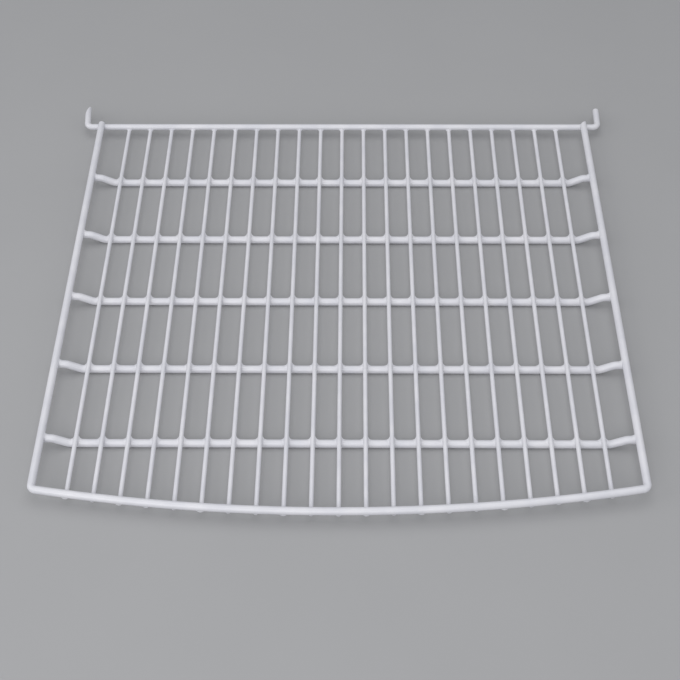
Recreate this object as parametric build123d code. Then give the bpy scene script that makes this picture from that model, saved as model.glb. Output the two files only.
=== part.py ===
from build123d import *
from math import cos, radians, sin, sqrt, tan
import os

# Display fridge shelf: a welded wire grid with a U-shaped frame and two hooks at the back.
# Millimetres. X runs to the right, Y to the back and Z up. The five cross wires lie on z = 0,
# and the origin is the middle of the shelf's footprint, hooks included.

# Wires, over their coating
frame_wire_diameter = 6.0
rear_bar_diameter = 5.6
cross_wire_diameter = 6.3
deck_wire_diameter = 3.4

# Frame, measured along the wires' axes
shelf_width = 451.4
shelf_depth = 423.3
front_bow_radius = 1332.0
front_bow_shift = -6.2
front_corner_bend = 4.4

# Grid: the spacing follows from the margins and the counts
deck_wire_count = 21
side_bay = 25.8
cross_wire_count = 5
rear_margin = 69.6
front_margin = 65.7

# Welds: how far two wires sink into each other where they cross
deck_weld_setdown = 0.2
rear_corner_setdown = 3.0

# Joggled ends of the cross wires
cross_end_drop = 3.0
cross_end_lap = 1.8
joggle_clearance = 5.6
joggle_run = 12.0
joggle_bend = 8.0

# Rear ends of the side rails
left_rail_overhang = 2.5
left_rail_end_rounding = 1.5
right_rail_overhang = 4.3
right_rail_end_slant = 40.0
right_rail_end_rounding = 0.6

# Hooks at the ends of the rear bar
hook_offset = 13.7
hook_bend = 5.6
left_hook_splay = 5.5
right_hook_splay = 2.5
left_hook_reach = 27.0
right_hook_reach = 24.8
left_hook_bevel_length = 9.4
left_hook_tip_width = 1.7
left_hook_tip_rounding = 0.6
right_hook_tip_rounding = 1.4

# Tips of the deck wires under the front bar
deck_tip_past_bar = 1.0
deck_tip_rounding = 0.9

# Radii and levels of the wire axes
frame_radius = frame_wire_diameter / 2
rear_radius = rear_bar_diameter / 2
cross_radius = cross_wire_diameter / 2
deck_radius = deck_wire_diameter / 2

cross_level = cross_radius
deck_level = cross_level + cross_radius + deck_radius - deck_weld_setdown
frame_level = deck_level + deck_radius + frame_radius - deck_weld_setdown
rear_level = frame_level - frame_radius - rear_radius + rear_corner_setdown
cross_end_level = frame_level - cross_end_drop

# Places in plan
half_width = shelf_width / 2
rear_line = (shelf_depth + frame_radius - max(left_hook_reach, right_hook_reach)) / 2
bow_front = rear_line - shelf_depth
bow_centre_y = bow_front + front_bow_radius


def bow_line(x):
    """Y of the front bar's axis at x."""
    return bow_centre_y - sqrt(front_bow_radius**2 - (x - front_bow_shift)**2)


deck_half_span = half_width - side_bay
deck_pitch = 2 * deck_half_span / (deck_wire_count - 1)
deck_lines = [-deck_half_span + i * deck_pitch for i in range(deck_wire_count)]

first_cross_line = rear_line - rear_margin
last_cross_line = bow_front + front_margin
cross_pitch = (first_cross_line - last_cross_line) / (cross_wire_count - 1)
cross_lines = [first_cross_line - i * cross_pitch for i in range(cross_wire_count)]


def wire_along(path, radius):
    """Round wire swept along a smooth path."""
    start = Plane(origin=path @ 0, z_dir=path % 0)
    return sweep(start * Circle(radius), path=path)


def end_edges(solid, point, reach):
    """Edges of a wire's end face, within reach of the point where its axis ends."""
    centre = Vector(point)
    return [edge for edge in solid.edges() if (edge.center(CenterOf.MASS) - centre).length < reach]


def sheared_off(shear, size):
    """Block on the upper side of a shear plane, large enough to take off a wire's end."""
    side = 4 * size
    return shear * Box(side, side, side, align=(Align.CENTER, Align.CENTER, Align.MIN))


def front_corner(side):
    """Bend at a front corner: its points on the side rail, halfway round and on the bow."""
    centre_x = side * (half_width - front_corner_bend)
    bow_inner = front_bow_radius - front_corner_bend
    from_bow = centre_x - front_bow_shift
    centre_y = bow_centre_y - sqrt(bow_inner**2 - from_bow**2)
    halfway = front_corner_bend * sqrt(0.5)
    join_x = front_bow_shift + from_bow * front_bow_radius / bow_inner
    return [
        (side * half_width, centre_y, frame_level),
        (centre_x + side * halfway, centre_y - halfway, frame_level),
        (join_x, bow_line(join_x), frame_level),
    ]


def make_frame_wire():
    """Side rails and bowed front bar, one wire with two tight bends at the front corners."""
    z = frame_level
    left_end = (-half_width, rear_line + left_rail_overhang, z)
    right_blank_end = (half_width, rear_line + right_rail_overhang + frame_wire_diameter, z)
    left_rail, left_middle, left_bow = front_corner(-1)
    right_rail, right_middle, right_bow = front_corner(1)
    path = Wire([
        Line(left_end, left_rail),
        ThreePointArc(left_rail, left_middle, left_bow),
        ThreePointArc(left_bow, (front_bow_shift, bow_front, z), right_bow),
        ThreePointArc(right_bow, right_middle, right_rail),
        Line(right_rail, right_blank_end),
    ])
    wire = wire_along(path, frame_radius)
    wire = fillet(end_edges(wire, left_end, frame_radius / 2), left_rail_end_rounding)

    # The right end is sheared at a slant, longest on its outer side
    slant = radians(right_rail_end_slant)
    shear_y = rear_line + right_rail_overhang - frame_radius * tan(slant)
    along_shear = (cos(slant), sin(slant), 0)
    off_shear = (-sin(slant), cos(slant), 0)
    shear = Plane(origin=(half_width, shear_y, z), x_dir=along_shear, z_dir=off_shear)
    wire = wire - sheared_off(shear, frame_wire_diameter)
    return fillet(end_edges(wire, (half_width, shear_y, z), frame_radius / 2), right_rail_end_rounding)


def make_rear_bar():
    """Bar under the rails' rear ends, turned backwards at both ends into hooks."""
    hook_x = half_width + hook_offset
    splay = radians(left_hook_splay)
    left_tip_x = -hook_x - left_hook_reach * tan(splay)
    left_tip = (left_tip_x, rear_line + left_hook_reach, rear_level)
    right_tip_x = hook_x + right_hook_reach * tan(radians(right_hook_splay))
    right_tip = (right_tip_x, rear_line + right_hook_reach, rear_level)
    path = FilletPolyline(
        left_tip,
        (-hook_x, rear_line, rear_level),
        (hook_x, rear_line, rear_level),
        right_tip,
        radius=hook_bend,
    )
    bar = wire_along(path, rear_radius)
    bar = fillet(end_edges(bar, right_tip, rear_radius / 2), right_hook_tip_rounding)

    # The left hook is sheared from its outer side to a narrow tip on its inner side
    across = Vector(cos(splay), sin(splay), 0)
    along = Vector(-sin(splay), cos(splay), 0)
    tip_corner = Vector(left_tip) + across * (rear_radius - left_hook_tip_width)
    outer_corner = Vector(left_tip) - across * rear_radius - along * left_hook_bevel_length
    slope = (tip_corner - outer_corner).normalized()
    off_shear = Vector(0, 0, 1).cross(slope)
    shear = Plane(origin=(tip_corner + outer_corner) / 2, x_dir=slope, z_dir=off_shear)
    bar = bar - sheared_off(shear, left_hook_bevel_length)
    return fillet(end_edges(bar, left_tip, left_hook_bevel_length), left_hook_tip_rounding)


def make_cross_wire(y):
    """Cross wire with both ends joggled up to the side rails."""
    low_x = deck_half_span + joggle_clearance
    high_x = low_x + joggle_run
    end_x = half_width - frame_radius + cross_end_lap
    path = FilletPolyline(
        (-end_x, y, cross_end_level),
        (-high_x, y, cross_end_level),
        (-low_x, y, cross_level),
        (low_x, y, cross_level),
        (high_x, y, cross_end_level),
        (end_x, y, cross_end_level),
        radius=joggle_bend,
    )
    return wire_along(path, cross_radius)


def make_deck_wire(x):
    """Straight deck wire from under the front bar to the lower front of the rear bar."""
    tip = bow_line(x) - deck_tip_past_bar
    length = rear_line - tip
    wire = Plane(origin=(x, tip, deck_level), z_dir=(0, 1, 0)) * Cylinder(
        deck_radius, length, align=(Align.CENTER, Align.CENTER, Align.MIN))
    return fillet(end_edges(wire, (x, tip, deck_level), deck_radius / 2), deck_tip_rounding)


# Wires at their full form
frame_wire = make_frame_wire()
rear_bar = make_rear_bar()
cross_wires = [make_cross_wire(y) for y in cross_lines]
deck_wires = [make_deck_wire(x) for x in deck_lines]

# Welded joints: the deck wires are coped to the rear bar, the cross wires are coped to the side
# rails, and the thick wires take a saddle from each wire that is pressed into them
deck_wires = [wire - rear_bar for wire in deck_wires]
cross_wires = [wire - frame_wire - deck_wires for wire in cross_wires]
rear_bar = rear_bar - frame_wire
frame_wire = frame_wire - deck_wires

nodes = {"frame_wire": frame_wire, "rear_bar": rear_bar}
for number, wire in enumerate(cross_wires, start=1):
    nodes[f"cross_wire_{number}"] = wire
for number, wire in enumerate(deck_wires, start=1):
    nodes[f"deck_wire_{number:02d}"] = wire

os.makedirs("parts", exist_ok=True)
for name, shape in nodes.items():
    export_step(shape, f"parts/{name}.step")
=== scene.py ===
import math
import bpy
from mathutils import Matrix, Vector


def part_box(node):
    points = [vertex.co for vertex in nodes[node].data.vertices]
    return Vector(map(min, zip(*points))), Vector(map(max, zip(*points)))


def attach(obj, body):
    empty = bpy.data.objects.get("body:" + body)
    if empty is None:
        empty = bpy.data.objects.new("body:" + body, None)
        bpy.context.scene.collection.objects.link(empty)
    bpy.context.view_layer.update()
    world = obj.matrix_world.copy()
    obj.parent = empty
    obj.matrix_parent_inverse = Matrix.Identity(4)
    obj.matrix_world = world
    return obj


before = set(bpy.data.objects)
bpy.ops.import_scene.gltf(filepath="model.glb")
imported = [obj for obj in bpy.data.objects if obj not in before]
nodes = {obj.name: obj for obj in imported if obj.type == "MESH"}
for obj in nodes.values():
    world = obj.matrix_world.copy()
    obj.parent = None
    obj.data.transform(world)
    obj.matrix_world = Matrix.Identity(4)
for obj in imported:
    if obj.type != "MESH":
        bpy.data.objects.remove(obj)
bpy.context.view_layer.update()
mm = 0.001

# where the wires run, read from the CAD nodes
deckNames = sorted(name for name in nodes if name.startswith("deck_wire"))
crossNames = sorted(name for name in nodes if name.startswith("cross_wire"))


def middleOf(name):
    low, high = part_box(name)
    return (low + high) / 2


def radiusOf(name, axis):
    low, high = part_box(name)
    return (high[axis] - low[axis]) / 2


deckX = [middleOf(name).x for name in deckNames]
crossY = [middleOf(name).y for name in crossNames]
deckWire = {"radius": radiusOf(deckNames[0], 0), "level": middleOf(deckNames[0]).z}
crossRadius = radiusOf(crossNames[0], 1)
crossWire = {"radius": crossRadius, "level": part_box(crossNames[0])[0].z + crossRadius}
crossEnd = {"radius": crossRadius, "level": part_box(crossNames[0])[1].z - crossRadius}
rearBar = {"radius": radiusOf("rear_bar", 2), "level": middleOf("rear_bar").z}
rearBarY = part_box("rear_bar")[0].y + rearBar["radius"]
rail = {"radius": radiusOf("frame_wire", 2), "level": middleOf("frame_wire").z}
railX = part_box("frame_wire")[1].x - rail["radius"]
print("frame read:", len(deckX), "deck wires,", len(crossY), "cross wires")


# white plastic coating: slightly cool, glossy, with a fine orange peel and slow thick and thin spots
coating = {
    "paleTone": (0.78, 0.775, 0.81, 1.0),
    "coolTone": (0.71, 0.71, 0.755, 1.0),
    "toneEdges": (0.35, 0.65),
    "toneScale": 55.0,        # patches per metre
    "toneDetail": 3.0,
    "peelScale": 700.0,
    "peelDetail": 2.0,
    "lumpScale": 120.0,
    "lumpDetail": 1.0,
    "peelHeight": 0.00003,
    "lumpHeight": 0.00012,
    "roughLow": 0.28,
    "roughHigh": 0.42,
    "roughDetail": 2.0,
    "coatWeight": 0.25,
    "coatRoughness": 0.12,
}


def addNoise(tree, coords, scale, detail):
    noise = tree.nodes.new("ShaderNodeTexNoise")
    noise.inputs["Scale"].default_value = scale
    noise.inputs["Detail"].default_value = detail
    tree.links.new(coords, noise.inputs["Vector"])
    return noise.outputs["Fac"]


def makeCoating(name, look):
    material = bpy.data.materials.new(name)
    material.use_nodes = True
    tree = material.node_tree
    shader = tree.nodes["Principled BSDF"]
    coords = tree.nodes.new("ShaderNodeTexCoord").outputs["Object"]

    tone = tree.nodes.new("ShaderNodeValToRGB")
    tones = (look["coolTone"], look["paleTone"])
    for stop, edge, colour in zip(tone.color_ramp.elements, look["toneEdges"], tones):
        stop.position = edge
        stop.color = colour
    tree.links.new(addNoise(tree, coords, look["toneScale"], look["toneDetail"]), tone.inputs["Fac"])
    tree.links.new(tone.outputs["Color"], shader.inputs["Base Color"])

    rough = tree.nodes.new("ShaderNodeMapRange")
    rough.inputs["To Min"].default_value = look["roughLow"]
    rough.inputs["To Max"].default_value = look["roughHigh"]
    tree.links.new(addNoise(tree, coords, look["lumpScale"], look["roughDetail"]), rough.inputs["Value"])
    tree.links.new(rough.outputs["Result"], shader.inputs["Roughness"])

    lump = tree.nodes.new("ShaderNodeBump")
    lump.inputs["Distance"].default_value = look["lumpHeight"]
    tree.links.new(addNoise(tree, coords, look["lumpScale"], look["lumpDetail"]), lump.inputs["Height"])
    peel = tree.nodes.new("ShaderNodeBump")
    peel.inputs["Distance"].default_value = look["peelHeight"]
    tree.links.new(addNoise(tree, coords, look["peelScale"], look["peelDetail"]), peel.inputs["Height"])
    tree.links.new(lump.outputs["Normal"], peel.inputs["Normal"])
    tree.links.new(peel.outputs["Normal"], shader.inputs["Normal"])

    shader.inputs["Coat Weight"].default_value = look["coatWeight"]
    shader.inputs["Coat Roughness"].default_value = look["coatRoughness"]
    return material


whiteCoating = makeCoating("whiteCoating", coating)
for node in nodes.values():
    node.data.materials.clear()
    node.data.materials.append(whiteCoating)
print("coating on", len(nodes), "wires")


# coating that ran into the corners of the grid before it set: each web leaves one wire along its side,
# turns through a quarter circle and sinks into the other wire
webs = {
    "sides": 8,
    "steps": 6,
    "buried": 0.02 * mm,
    "unevenness": 0.2,
    "waveStep": 2.3,          # how fast the sizes change from web to web
    "waveGrowth": 1.8,
    "rowSizes": (1.25, 1.2, 0.95, 0.9, 1.05),   # from the back row to the front row
    "rightLarger": 0.12,      # the left webs are smaller by as much
    "largest": 1.14,          # larger webs would come out on the far side of the deck wire
    "capAngle": 40,
    "crossing": {"tube": 1.4 * mm, "corner": 2.7 * mm, "squash": 0.7, "leaveBelow": 5, "enterAbove": 55},
    "rearBar": {"tube": 1.1 * mm, "corner": 1.6 * mm, "squash": 1.0, "leaveBelow": 10, "enterAbove": -25},
}


def selectVertices(piece, wanted):
    bpy.ops.object.mode_set(mode="EDIT")
    bpy.ops.mesh.select_all(action="DESELECT")
    bpy.ops.object.mode_set(mode="OBJECT")
    for vertex in piece.data.vertices:
        vertex.select = wanted(vertex)
    bpy.ops.object.mode_set(mode="EDIT")


# web between a wire along y and a wire along x, with its origin in the corner of their sides
def modelWeb(name, web, fromWire, toWire):
    tube = web["tube"]
    corner = web["corner"]
    leave = math.radians(web["leaveBelow"])
    enter = math.radians(web["enterAbove"])
    fromReach = fromWire["radius"] - tube - webs["buried"]
    toReach = toWire["radius"] - tube - webs["buried"]
    startZ = fromWire["level"] - fromReach * math.sin(leave)
    endZ = toWire["level"] + toReach * math.sin(enter)

    bpy.ops.object.select_all(action="DESELECT")
    bpy.ops.mesh.primitive_circle_add(vertices=webs["sides"], radius=tube, location=(-tube, corner, startZ),
                                      rotation=(math.radians(90), 0, 0))
    piece = bpy.context.object
    piece.name = name
    bpy.ops.object.transform_apply(location=True, rotation=True, scale=True)
    bpy.ops.object.mode_set(mode="EDIT")
    bpy.ops.mesh.select_all(action="SELECT")
    bpy.ops.mesh.spin(steps=webs["steps"], angle=math.radians(-90), center=(corner, corner, startZ),
                      axis=(0, 0, 1))

    # the rings go step by step to the level of the other wire, slowly at both ends
    for ring in range(1, webs["steps"] + 1):
        share = ring / webs["steps"]
        ease = share * share * (3 - 2 * share)

        def onRing(vertex):
            around = math.atan2(corner - vertex.co.y, corner - vertex.co.x)
            return round(around / math.radians(90) * webs["steps"]) == ring

        selectVertices(piece, onRing)
        bpy.ops.transform.translate(value=(0, 0, (endZ - startZ) * ease))

    bpy.ops.mesh.select_all(action="SELECT")
    bpy.ops.transform.resize(value=(1, web["squash"], 1), center_override=(0, 0, 0))
    bpy.ops.mesh.fill_holes(sides=webs["sides"])
    bpy.ops.mesh.normals_make_consistent(inside=False)
    bpy.ops.object.mode_set(mode="OBJECT")
    bpy.ops.object.shade_smooth_by_angle(angle=math.radians(webs["capAngle"]))
    piece.data.materials.append(whiteCoating)
    sideX = fromReach * math.cos(leave) + tube
    sideY = toReach * math.cos(enter) + tube
    return {"model": piece, "sideX": sideX, "sideY": sideY}


# copy of a web, fillet or collar at a crossing, on the given side of both wires
def placeWeb(web, x, y, side, forward, size=1.0):
    copy = web["model"].copy()
    copy.data = web["model"].data.copy()
    bpy.context.scene.collection.objects.link(copy)
    corner = Matrix.Translation((x + side * web["sideX"], y + forward * web["sideY"], 0))
    copy.data.transform(corner @ Matrix.Diagonal((side * size, forward * size, 1, 1)))
    if side * forward < 0:
        copy.data.flip_normals()
    return copy


# one piece out of several copies, riding with the wires
def joinPieces(name, pieces):
    bpy.ops.object.select_all(action="DESELECT")
    for piece in pieces:
        piece.select_set(True)
    bpy.context.view_layer.objects.active = pieces[0]
    bpy.ops.object.join()
    whole = bpy.context.object
    whole.name = name
    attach(whole, "root")


# size that differs from web to web, the same in every run
def uneven(*numbers):
    angle = 0
    for place, number in enumerate(numbers):
        angle += (webs["waveStep"] + webs["waveGrowth"] * place) * number
    return 1 + webs["unevenness"] * math.sin(angle)


# fillets of coating along a wire that lies across another; each station is a place along the wire
# and the fillet's radius there, and parts is the number of steps from station to station
# inside: how far the fillet goes past the middle of the upper wire, in radii of that wire
# hollow: 1 for a full arc, 0 for a straight slope
# lean: how fast the upper edge goes sideways with a slanted wire end, starting at leanFrom
fillets = {
    "arcSteps": 4,
    "capAngle": 65,
    "crossing": {
        "parts": 1, "inside": 0.0, "hollow": 1.0, "lean": 0.0, "leanFrom": 0.0,
        "stations": (
            (-2.2 * mm, 0.5 * mm), (-0.6 * mm, 1.5 * mm), (1.0 * mm, 2.7 * mm), (2.1 * mm, 3.9 * mm),
            (2.5 * mm, 4.0 * mm), (2.85 * mm, 3.2 * mm), (3.03 * mm, 2.1 * mm)),
    },
    "rail": {
        "parts": 4, "inside": -0.3, "hollow": 1.0, "lean": 0.0, "leanFrom": 0.0,
        "stations": (
            (-2.2 * mm, 0.8 * mm), (-0.9 * mm, 1.5 * mm), (0.4 * mm, 2.3 * mm), (1.5 * mm, 3.2 * mm),
            (2.4 * mm, 3.8 * mm), (2.75 * mm, 3.0 * mm), (2.95 * mm, 2.0 * mm)),
    },
    "railEnd": {
        "parts": 4, "inside": 0.0, "hollow": 1.0, "lean": 0.0, "leanFrom": 0.0,
        "stations": (
            (-2.3 * mm, 0.6 * mm), (-1.0 * mm, 0.9 * mm), (0.3 * mm, 0.9 * mm), (1.4 * mm, 0.5 * mm)),
    },
    "slantedEnd": {
        "parts": 4, "inside": 0.4, "hollow": 0.6, "lean": 1.19, "leanFrom": -0.9 * mm,
        "stations": (
            (-2.3 * mm, 0.8 * mm), (-1.0 * mm, 1.8 * mm), (0.2 * mm, 3.0 * mm), (1.1 * mm, 2.4 * mm),
            (1.7 * mm, 1.0 * mm), (2.1 * mm, 0.4 * mm)),
    },
}


# rings of a fillet: its stations, and more rings evenly between them
def filletRings(fillet):
    stations = fillet["stations"]
    rings = []
    for (y, radius), (nextY, nextRadius) in zip(stations, stations[1:]):
        for part in range(fillet["parts"]):
            share = part / fillet["parts"]
            rings.append((y + (nextY - y) * share, radius + (nextRadius - radius) * share))
    return rings + [stations[-1]]


# section of a fillet across the upper wire: its hollow arc, then two points inside the wires
def filletSection(fillet, y, radius, upper, lower):
    ground = lower["level"] + math.sqrt(lower["radius"] ** 2 - y ** 2) - webs["buried"]
    wireRadius = upper["radius"] - webs["buried"]
    rise = ground + radius - upper["level"]
    foot = math.sqrt((wireRadius + radius) ** 2 - rise ** 2)
    start = math.pi + math.atan2(rise, foot)
    down = 1.5 * math.pi
    stretch = 1 + fillet["lean"] * max(0, y - fillet["leanFrom"]) / (-radius * math.cos(start))

    def onArc(along):
        around = start + (down - start) * along
        x = foot + radius * math.cos(around) * stretch
        return Vector((x, y, ground + radius + radius * math.sin(around)))

    points = []
    for step in range(fillets["arcSteps"] + 1):
        along = step / fillets["arcSteps"]
        straight = onArc(0).lerp(onArc(1), along)
        points.append(straight.lerp(onArc(along), fillet["hollow"]))
    inside = -fillet["inside"] * upper["radius"]
    points.append(Vector((inside, y, lower["level"])))
    points.append(Vector((inside, y, upper["level"] + upper["radius"] / 2)))
    return points


# fillet on the right side of the upper wire, with its origin in the crossing
def modelFillet(name, fillet, upper, lower):
    rings = filletRings(fillet)
    corners = len(filletSection(fillet, *rings[0], upper, lower))
    bpy.ops.object.select_all(action="DESELECT")
    bpy.ops.mesh.primitive_circle_add(vertices=corners, radius=upper["radius"])
    piece = bpy.context.object
    piece.name = name
    bpy.ops.object.mode_set(mode="EDIT")
    bpy.ops.mesh.select_all(action="SELECT")
    for ring in range(1, len(rings)):
        bpy.ops.mesh.extrude_region_move(TRANSFORM_OT_translate={"value": (0, 0, upper["radius"])})

    # the points of each ring go to their places on the section
    for ring, (y, radius) in enumerate(rings):
        for corner, place in enumerate(filletSection(fillet, y, radius, upper, lower)):
            number = ring * corners + corner
            selectVertices(piece, lambda vertex: vertex.index == number)
            bpy.ops.transform.translate(value=place - piece.data.vertices[number].co)

    bpy.ops.mesh.select_all(action="SELECT")
    bpy.ops.mesh.fill_holes(sides=corners)
    bpy.ops.mesh.normals_make_consistent(inside=False)
    bpy.ops.object.mode_set(mode="OBJECT")
    bpy.ops.object.shade_smooth_by_angle(angle=math.radians(fillets["capAngle"]))
    piece.data.materials.append(whiteCoating)
    return {"model": piece, "sideX": 0.0, "sideY": 0.0}


crossingWeb = modelWeb("crossingWeb", webs["crossing"], deckWire, crossWire)
crossingFillet = modelFillet("crossingFillet", fillets["crossing"], deckWire, crossWire)
for row, y in enumerate(crossY, start=1):
    copies = []
    for column, x in enumerate(deckX, start=1):
        for side in (-1, 1):
            size = webs["rowSizes"][row - 1] * (1 + webs["rightLarger"] * side)
            size = size * uneven(row, column, side)
            copies.append(placeWeb(crossingWeb, x, y, side, 1, min(size, webs["largest"])))
            copies.append(placeWeb(crossingFillet, x, y, side, 1))
    joinPieces(f"crossing_webs_{row}", copies)
print("webs on", len(crossY) * len(deckX), "crossings")

rearWeb = modelWeb("rearWeb", webs["rearBar"], deckWire, rearBar)
copies = []
for column, x in enumerate(deckX, start=1):
    for side in (-1, 1):
        copies.append(placeWeb(rearWeb, x, rearBarY, side, -1, uneven(column, side)))
joinPieces("rear_bar_webs", copies)
print("webs on the rear bar:", len(copies))

railFillet = modelFillet("railFillet", fillets["rail"], rail, crossEnd)
copies = []
for y in crossY:
    copies.append(placeWeb(railFillet, -railX, y, 1, 1))
    copies.append(placeWeb(railFillet, railX, y, -1, 1))
joinPieces("rail_webs", copies)
print("webs on the rails:", len(copies))

railEndFillet = modelFillet("railEndFillet", fillets["railEnd"], rail, rearBar)
slantedEndFillet = modelFillet("slantedEndFillet", fillets["slantedEnd"], rail, rearBar)
joinPieces("rail_end_fillets", [
    placeWeb(railEndFillet, -railX, rearBarY, -1, 1),
    placeWeb(railEndFillet, -railX, rearBarY, 1, 1),
    placeWeb(railEndFillet, railX, rearBarY, 1, 1),
    placeWeb(slantedEndFillet, railX, rearBarY, -1, 1),
])
print("fillets on both rail ends")


# collar of coating around a deck wire's tip, under the front bar; each ring has its height above the
# deck wire's axis and its half widths along the front bar and along the deck wire
collars = {
    "sides": 12,
    "capAngle": 60,
    "behindTip": 0.7 * mm,
    "rings": (
        (2.4 * mm, 4.0 * mm, 1.5 * mm), (1.4 * mm, 3.0 * mm, 1.9 * mm),
        (0.5 * mm, 2.1 * mm, 1.7 * mm), (-0.2 * mm, 1.65 * mm, 1.2 * mm)),
}


def modelCollar(name, look):
    lastHeight, lastAlong, lastAcross = look["rings"][0]
    bpy.ops.object.select_all(action="DESELECT")
    bpy.ops.mesh.primitive_circle_add(vertices=look["sides"], radius=1.0)
    piece = bpy.context.object
    piece.name = name
    bpy.ops.object.mode_set(mode="EDIT")
    bpy.ops.mesh.select_all(action="SELECT")
    bpy.ops.transform.resize(value=(lastAlong, lastAcross, 1), center_override=(0, 0, 0))
    bpy.ops.transform.translate(value=(0, 0, deckWire["level"] + lastHeight))
    for height, along, across in look["rings"][1:]:
        bpy.ops.mesh.extrude_region_move(TRANSFORM_OT_translate={"value": (0, 0, height - lastHeight)})
        bpy.ops.transform.resize(value=(along / lastAlong, across / lastAcross, 1),
                                 center_override=(0, 0, 0))
        lastHeight, lastAlong, lastAcross = height, along, across
    bpy.ops.mesh.select_all(action="SELECT")
    bpy.ops.mesh.fill_holes(sides=look["sides"])
    bpy.ops.mesh.normals_make_consistent(inside=False)
    bpy.ops.object.mode_set(mode="OBJECT")
    bpy.ops.object.shade_smooth_by_angle(angle=math.radians(look["capAngle"]))
    piece.data.materials.append(whiteCoating)
    return {"model": piece, "sideX": 0.0, "sideY": 0.0}


tipCollar = modelCollar("tipCollar", collars)
copies = []
for column, (name, x) in enumerate(zip(deckNames, deckX), start=1):
    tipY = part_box(name)[0].y
    copies.append(placeWeb(tipCollar, x, tipY + collars["behindTip"], 1, 1, uneven(column)))
joinPieces("front_tip_collars", copies)
print("collars on the deck wires' tips:", len(copies))
for web in (crossingWeb, crossingFillet, rearWeb, railFillet, railEndFillet, slantedEndFillet, tipCollar):
    bpy.data.objects.remove(web["model"])


# floor: pale grey, big enough to fill the view
floorLook = {
    "size": 8.0,
    "drop": 0.0002,
    "tone": (0.41, 0.41, 0.415, 1.0),
    "toneDark": (0.39, 0.39, 0.395, 1.0),
    "grainScale": 9.0,
    "grainDetail": 4.0,
    "roughness": 0.85,
    "specular": 0.2,
}


def makeFloor(look):
    bpy.ops.object.select_all(action="DESELECT")
    bpy.ops.mesh.primitive_plane_add(size=look["size"], location=(0, 0, -look["drop"]))
    floor = bpy.context.object
    floor.name = "floor"
    material = bpy.data.materials.new("paleFloor")
    material.use_nodes = True
    tree = material.node_tree
    shader = tree.nodes["Principled BSDF"]
    coords = tree.nodes.new("ShaderNodeTexCoord").outputs["Object"]
    ramp = tree.nodes.new("ShaderNodeValToRGB")
    ramp.color_ramp.elements[0].color = look["toneDark"]
    ramp.color_ramp.elements[1].color = look["tone"]
    tree.links.new(addNoise(tree, coords, look["grainScale"], look["grainDetail"]), ramp.inputs["Fac"])
    tree.links.new(ramp.outputs["Color"], shader.inputs["Base Color"])
    shader.inputs["Roughness"].default_value = look["roughness"]
    shader.inputs["Specular IOR Level"].default_value = look["specular"]
    floor.data.materials.append(material)


makeFloor(floorLook)
print("floor ready")


# soft studio light: one large lamp overhead towards the back, fills from the front and both sides
lamps = {
    "overhead": {"place": (0.0, 0.35, 1.8), "size": 1.8, "watts": 8.5},
    "frontFill": {"place": (-0.4, -1.5, 1.2), "size": 1.6, "watts": 15.0},
    "leftFill": {"place": (-1.6, -0.3, 1.0), "size": 1.2, "watts": 7.0},
    "rightFill": {"place": (1.6, -0.4, 1.1), "size": 1.2, "watts": 3.5},
}
surroundings = {"colour": (0.80, 0.82, 0.86, 1.0), "strength": 0.45}


def addLamp(name, lamp):
    bpy.ops.object.light_add(type="AREA", location=lamp["place"])
    light = bpy.context.object
    light.name = name
    light.data.size = lamp["size"]
    light.data.energy = lamp["watts"]
    towards = Vector((0, 0, 0)) - Vector(lamp["place"])
    light.rotation_euler = towards.to_track_quat("-Z", "Y").to_euler()


for lampName, lamp in lamps.items():
    addLamp(lampName, lamp)
world = bpy.data.worlds.new("surroundings")
bpy.context.scene.world = world
world.use_nodes = True
world.node_tree.nodes["Background"].inputs["Color"].default_value = surroundings["colour"]
world.node_tree.nodes["Background"].inputs["Strength"].default_value = surroundings["strength"]
print("light ready")


# camera: the photo's view, found by laying the shelf's wires over the photo's
view = {
    "framePixels": 680,
    "focalPixels": 1250.0,
    "sensorWidth": 36.0,
    "fromRearBar": (0.00842, -0.90536),
    "aboveRails": 0.77085,
    "pitch": 50.175,
    "yaw": -0.759,
    "roll": -0.46,
}


def addCamera(look):
    camera = bpy.data.objects.new("camera", bpy.data.cameras.new("camera"))
    bpy.context.scene.collection.objects.link(camera)
    camera.data.sensor_fit = "HORIZONTAL"
    camera.data.sensor_width = look["sensorWidth"]
    camera.data.lens = look["sensorWidth"] * look["focalPixels"] / look["framePixels"]
    aside, behind = look["fromRearBar"]
    place = Matrix.Translation((aside, rearBarY + behind, rail["level"] + look["aboveRails"]))
    turn = Matrix.Rotation(math.radians(-look["yaw"]), 4, "Z")
    tilt = Matrix.Rotation(math.radians(90 - look["pitch"]), 4, "X")
    roll = Matrix.Rotation(math.radians(look["roll"]), 4, "Z")
    camera.matrix_world = place @ turn @ tilt @ roll
    bpy.context.scene.camera = camera


addCamera(view)
bpy.context.scene.view_settings.view_transform = "Standard"
print("camera ready")
